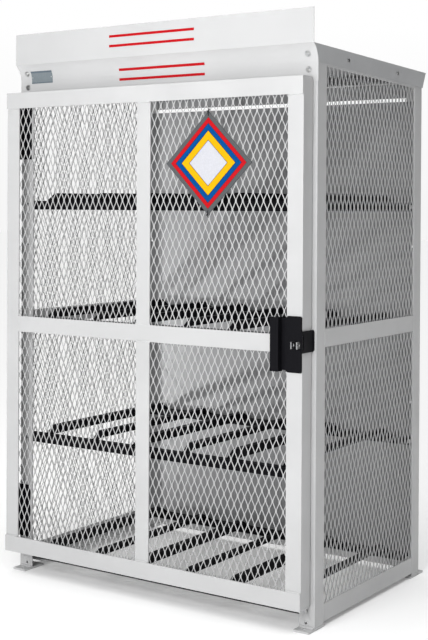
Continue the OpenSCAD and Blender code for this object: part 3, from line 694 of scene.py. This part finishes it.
case_welds = Shape()
low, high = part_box("latch_case")
for z, way in ((low.z, -UP), (high.z, UP)):
    fillet(case_welds, *crosswise(low.x, high.x, high.y, z), way, -BACK, PLATE_LEG)
case_welds.piece("case_welds", black_paint, "door", "black_paint", True)

# Tack welds that hold the expanded metal to the frames, on the inside

TACK_PITCH = 0.095
TACK_R = 0.0055
TACK_HEIGHT = 0.0036
TACK_SIDES = 8
TACK_IN = 0.004


def tacks(shape, low, high, place, out):
    """Tacks round a panel from (u, v) low to high; place(u, v) is a point on the frame."""
    for v in (low[1] + TACK_IN, high[1] - TACK_IN):
        for u in spaced(low[0], high[0], TACK_PITCH):
            dome(shape, place(u, v), out, TACK_R, TACK_HEIGHT, sides=TACK_SIDES)
    for u in (low[0] + TACK_IN, high[0] - TACK_IN):
        for v in spaced(low[1], high[1], TACK_PITCH):
            dome(shape, place(u, v), out, TACK_R, TACK_HEIGHT, sides=TACK_SIDES)


door_tacks = Shape()
side_tacks = Shape()
for level in ("lower", "upper"):
    for word in ("left", "right"):
        low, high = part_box("door_" + level + "_" + word + "_mesh")
        tacks(door_tacks, (low.x, low.z), (high.x, high.z),
              lambda u, v: Vector((u, low.y, v)), BACK)
        low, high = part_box(word + "_" + level + "_mesh")
        face = high.x if word == "right" else low.x
        tacks(side_tacks, (low.y, low.z), (high.y, high.z),
              lambda u, v: Vector((face, u, v)), -RIGHT if word == "right" else RIGHT)
door_tacks.piece("door_mesh_tacks", frame_paint, "door", "frame_paint", True)
side_tacks.piece("side_mesh_tacks", frame_paint, "cage", "frame_paint", True)

# Rivets of the hinge leaves. The leaves' faces are given as X and Y for at()

RIVETS = 3
RIVET_R = 0.0052
POST_RIVET_HEIGHT = 0.0014
DOOR_RIVET_HEIGHT = 0.0020
PIT = 0.45
POST_LEAF = (-541.0, -2.8)
DOOR_LEAF = (-573.1, -27.0)

post_rivets = Shape()
door_rivets = Shape()
for level in ("lower", "upper"):
    low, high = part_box(level + "_hinge_post_leaf")
    for z in spaced(low.z, high.z, (high.z - low.z) / RIVETS):
        dome(post_rivets, at(*POST_LEAF, z * 1000), -BACK, RIVET_R, POST_RIVET_HEIGHT, PIT)
        dome(door_rivets, at(*DOOR_LEAF, z * 1000), -RIGHT, RIVET_R, DOOR_RIVET_HEIGHT, PIT)
post_rivets.piece("hinge_post_rivets", black_paint, "cage", "black_paint", True)
door_rivets.piece("hinge_door_rivets", black_paint, "door", "black_paint", True)

# Header: two pairs of plain red lines and a bare data plate that follows the cove. Here and on
# the placard, only the radii and heights of rivets and wires are in metres, the rest is for at()

HEADER_T = 1.9
COVE_FOOT = 1596.0
COVE_RISE = 53.0
COVE_RUN = 26.0
COVE_R = (COVE_RISE ** 2 + COVE_RUN ** 2) / (2 * COVE_RUN)
FILM_T = 0.15
FILM_LIFT = 0.02
FILM_ROWS = 8


def on_header(x, z, lift):
    """A point of the header's front face at x and z, lifted off it."""
    if z <= COVE_FOOT:
        return at(x, -HEADER_T - lift, z)
    if z >= COVE_FOOT + COVE_RISE:
        return at(x, -HEADER_T - COVE_RUN - lift, z)
    turn = math.asin((z - COVE_FOOT) / COVE_R)
    reach = COVE_R - lift
    return at(x, -HEADER_T - COVE_R + reach * math.cos(turn), COVE_FOOT + reach * math.sin(turn))


def header_film(shape, across, up, lift, thick):
    """A thin sheet on the header's face, across a range of x and up a range of z."""
    rings = []
    for row in range(FILM_ROWS + 1):
        z = up[0] + (up[1] - up[0]) * row / FILM_ROWS
        rings.append([on_header(across[0], z, lift), on_header(across[1], z, lift),
                      on_header(across[1], z, lift + thick), on_header(across[0], z, lift + thick)])
    shape.join(rings)


LINE_HALF_T = 4.0
LINE_APART = 15.0
UPPER_LINES = ((-169.5, 152.5), 1701.0)
LOWER_LINES = ((-148.5, 174.5), 1599.0)

header_lines = Shape()
for across, middle in (UPPER_LINES, LOWER_LINES):
    for z in (middle - LINE_APART, middle + LINE_APART):
        header_film(header_lines, across, (z - LINE_HALF_T, z + LINE_HALF_T), FILM_LIFT, FILM_T)
header_lines.piece("header_lines", sign_red, "cage", "header_paint")

LABEL_ACROSS = (-511.5, -422.5)
LABEL_UP = (1589.0, 1628.0)
LABEL_MIDDLE = sum(LABEL_UP) / 2
LABEL_T = 0.9
TOP_BAND = 5.0
FOOT_BAND = 3.0
LABEL_RIVET_IN = 5.0
LABEL_RIVET_R = 0.0022
LABEL_RIVET_HEIGHT = 0.0012

label = Shape()
header_film(label, LABEL_ACROSS, LABEL_UP, FILM_LIFT, LABEL_T)
label.piece("data_plate", label_grey, "cage", "header_paint")
bands = Shape()
header_film(bands, LABEL_ACROSS, (LABEL_UP[1] - TOP_BAND, LABEL_UP[1]), LABEL_T, FILM_T)
header_film(bands, LABEL_ACROSS, (LABEL_UP[0], LABEL_UP[0] + FOOT_BAND), LABEL_T, FILM_T)
bands.piece("data_plate_bands", label_band, "cage", "header_paint")
label_rivets = Shape()
for x in (LABEL_ACROSS[0] + LABEL_RIVET_IN, LABEL_ACROSS[1] - LABEL_RIVET_IN):
    foot = on_header(x, LABEL_MIDDLE, LABEL_T)
    out = (on_header(x, LABEL_MIDDLE, LABEL_T + 1.0) - foot).normalized()
    dome(label_rivets, foot, out, LABEL_RIVET_R, LABEL_RIVET_HEIGHT, PIT)
label_rivets.piece("data_plate_rivets", zinc, "cage", "zinc", True)

# Placard: nested squares in plain colours on the grey plate, and the wires that hang it

PLACARD_X = 222.5
PLACARD_Z = 1318.0
PLACARD_FACE = -52.5
PLACARD_REACH = 151.3
ART_REACH = 134.0
ART_GAP = 2.2
CORNERS = (0.0, math.pi / 2, math.pi, 1.5 * math.pi)


def diamond(reach, lift):
    """The corners of a square on its corner, lifted off the placard's face."""
    return [at(PLACARD_X + reach * math.cos(turn), PLACARD_FACE - lift,
               PLACARD_Z + reach * math.sin(turn)) for turn in CORNERS]


def diamond_band(name, outer, inner, lift, material):
    """A printed square ring that stands on its corner; without an inner reach it is full."""
    shape = Shape()
    if inner:
        shape.join([diamond(outer, lift), diamond(outer, lift + FILM_T),
                    diamond(inner, lift + FILM_T), diamond(inner, lift)], True)
    else:
        shape.join([diamond(outer, lift), diamond(outer, lift + FILM_T)])
    shape.piece(name, material, "door", "placard_paint")


diamond_band("placard_ground", ART_REACH, 0.0, FILM_LIFT, sign_black)

# Each of the four colours covers about the same area
reaches = [ART_REACH * math.sqrt(share) for share in (1.0, 0.75, 0.5, 0.25)]
insides = [reach + ART_GAP / 2 for reach in reaches[1:]] + [0.0]
colours = (("red", sign_red), ("blue", sign_blue), ("yellow", sign_yellow), ("white", sign_white))
for (word, material), reach, inner in zip(colours, reaches, insides):
    diamond_band("placard_" + word, reach - ART_GAP / 2, inner, FILM_T, material)

TIE_IN = 4.0
TIE_Y = -49.4
TIE_RISE = 11.0
TIE_DEPTH = 5.2
TIE_STEPS = 20
TIE_R = 0.0011
TAIL_Y = -54.4
TAIL_POINTS = 4
TAIL_OUT = 1.2
TAIL_FORWARD = 0.5
TAIL_UP = 2.0

ties = Shape()
for side in (-1, 1):
    middle_z = PLACARD_Z + side * (PLACARD_REACH - TIE_IN)
    path = [at(PLACARD_X, TIE_Y + TIE_DEPTH * math.cos(math.tau * i / TIE_STEPS),
               middle_z + TIE_RISE * math.sin(math.tau * i / TIE_STEPS)) for i in range(TIE_STEPS)]
    wire(ties, path, TIE_R, True)
    for lean in (-1, 1):
        tail = [at(PLACARD_X + lean * TAIL_OUT * i, TAIL_Y - TAIL_FORWARD * i,
                   middle_z + side * TAIL_UP * i) for i in range(TAIL_POINTS)]
        wire(ties, tail, TIE_R)
ties.piece("placard_ties", black_paint, "door", "black_paint", True)


# Camera, at the photograph's viewpoint

CAMERA_PLACE = (2.3222, -3.4022, 1.1893)
CAMERA_DIP = 0.0102
CAMERA_ROLL = -0.0054
CAMERA_TURN = 0.5983
SENSOR = 36.0
LENS = 71.2
SHIFT = -0.156

camera_data = bpy.data.cameras.new("camera")
camera = bpy.data.objects.new("camera", camera_data)
bpy.context.scene.collection.objects.link(camera)
camera.location = CAMERA_PLACE
camera.rotation_euler = (math.pi / 2 - CAMERA_DIP, CAMERA_ROLL, CAMERA_TURN)
camera_data.sensor_width = SENSOR
camera_data.lens = LENS
camera_data.shift_y = SHIFT
bpy.context.scene.camera = camera


# Floor: matt white, with a slight glow that grows away from the cage

FLOOR_REACH = 40.0
FLOOR_WHITE = 0.90
FLOOR_ROUGH = 0.9
FLOOR_SHINE = 0.1
GLOW_FROM = (0.6, 0.11)
GLOW_TO = (3.0, 0.13)
WHITE = (1.0, 1.0, 1.0, 1.0)

floor_mesh = bpy.data.meshes.new("floor")
floor_mesh.from_pydata(
    [(-FLOOR_REACH, -FLOOR_REACH, 0), (FLOOR_REACH, -FLOOR_REACH, 0),
     (FLOOR_REACH, FLOOR_REACH, 0), (-FLOOR_REACH, FLOOR_REACH, 0)],
    [], [(0, 1, 2, 3)])
floor = bpy.data.objects.new("floor", floor_mesh)
bpy.context.scene.collection.objects.link(floor)
floor_look = Graph("floor_look")
floor_look.shader.inputs["Base Color"].default_value = (FLOOR_WHITE, FLOOR_WHITE, FLOOR_WHITE, 1.0)
floor_look.shader.inputs["Roughness"].default_value = FLOOR_ROUGH
floor_look.shader.inputs["Specular IOR Level"].default_value = FLOOR_SHINE
floor_look.shader.inputs["Emission Color"].default_value = WHITE
distance = floor_look.tree.nodes.new("ShaderNodeVectorMath")
distance.operation = "LENGTH"
floor_look.link(floor_look.place, distance.inputs[0])
glow = floor_look.spread(distance.outputs["Value"], GLOW_FROM[0], GLOW_TO[0], GLOW_FROM[1],
                         GLOW_TO[1])
floor_look.link(glow, floor_look.shader.inputs["Emission Strength"])
floor_mesh.materials.append(floor_look.material)


# Sky: the camera sees a backdrop that is white above and very light grey at the horizon, and the
# object is lit from above. Heights are those of a direction, 0 at the horizon and 1 overhead

HORIZON = 0.92
HORIZON_TOP = 0.14
SKY_SIDE = 0.03
SKY_TOP = 2.0
SKY_LOW = 0.60
SKY_HIGH = 0.90

world = bpy.data.worlds.new("studio")
bpy.context.scene.world = world
world.use_nodes = True
sky = world.node_tree
lit = sky.nodes["Background"]
lit.inputs["Color"].default_value = WHITE
seen = sky.nodes.new("ShaderNodeBackground")
seen.inputs["Color"].default_value = WHITE
direction = sky.nodes.new("ShaderNodeTexCoord")
axes = sky.nodes.new("ShaderNodeSeparateXYZ")
rays = sky.nodes.new("ShaderNodeLightPath")
either = sky.nodes.new("ShaderNodeMixShader")
sky.links.new(direction.outputs["Generated"], axes.inputs[0])
sky.links.new(map_range(sky, axes.outputs["Z"], SKY_LOW, SKY_HIGH, SKY_SIDE, SKY_TOP),
              lit.inputs["Strength"])
sky.links.new(map_range(sky, axes.outputs["Z"], 0.0, HORIZON_TOP, HORIZON, 1.0),
              seen.inputs["Strength"])
sky.links.new(rays.outputs["Is Camera Ray"], either.inputs[0])
sky.links.new(lit.outputs[0], either.inputs[1])
sky.links.new(seen.outputs[0], either.inputs[2])
sky.links.new(either.outputs[0], sky.nodes["World Output"].inputs["Surface"])


# Lamps: place, target, size, watts and the angle of the beam

LAMPS = {
    "key": ((0.55, -3.4, 1.65), (0.0, -0.3, 1.00), (2.2, 1.6), 102.0, 180.0),
    "header": ((0.0, -2.6, 0.55), (0.0, -0.33, 1.66), (1.2, 0.3), 0.32, 30.0),
    "left": ((-1.25, -0.20, 1.10), (-0.45, 0.38, 1.10), (0.2, 1.2), 1.4, 42.0),
    "low_left": ((-1.50, -0.26, 0.05), (-0.05, 0.38, 1.05), (0.08, 0.08), 8.0, 76.0),
}
INNER_LAMPS = ("left", "low_left")


def soft_box(name, place, target, size, watts, beam):
    """A rectangular lamp that looks at target, with a beam in degrees, and isn't seen itself."""
    data = bpy.data.lights.new(name, "AREA")
    data.shape = "RECTANGLE"
    data.size, data.size_y = size
    data.energy = watts
    data.spread = math.radians(beam)
    light = bpy.data.objects.new(name, data)
    bpy.context.scene.collection.objects.link(light)
    light.location = place
    light.rotation_euler = (Vector(place) - Vector(target)).to_track_quat("Z", "Y").to_euler()
    light.visible_camera = False
    return light


# The lamps on the left reach the back wall and the shelves, and no face on the outside
inner = bpy.data.collections.new("inner")
for name, node in nodes.items():
    if name.startswith(("back_", "shelf_")):
        inner.objects.link(node)
for name, settings in LAMPS.items():
    lamp = soft_box(name, *settings)
    if name in INNER_LAMPS:
        lamp.light_linking.receiver_collection = inner

view = bpy.context.scene.view_settings
view.view_transform = "Standard"
view.look = "None"
view.exposure = 0.0
view.gamma = 1.0
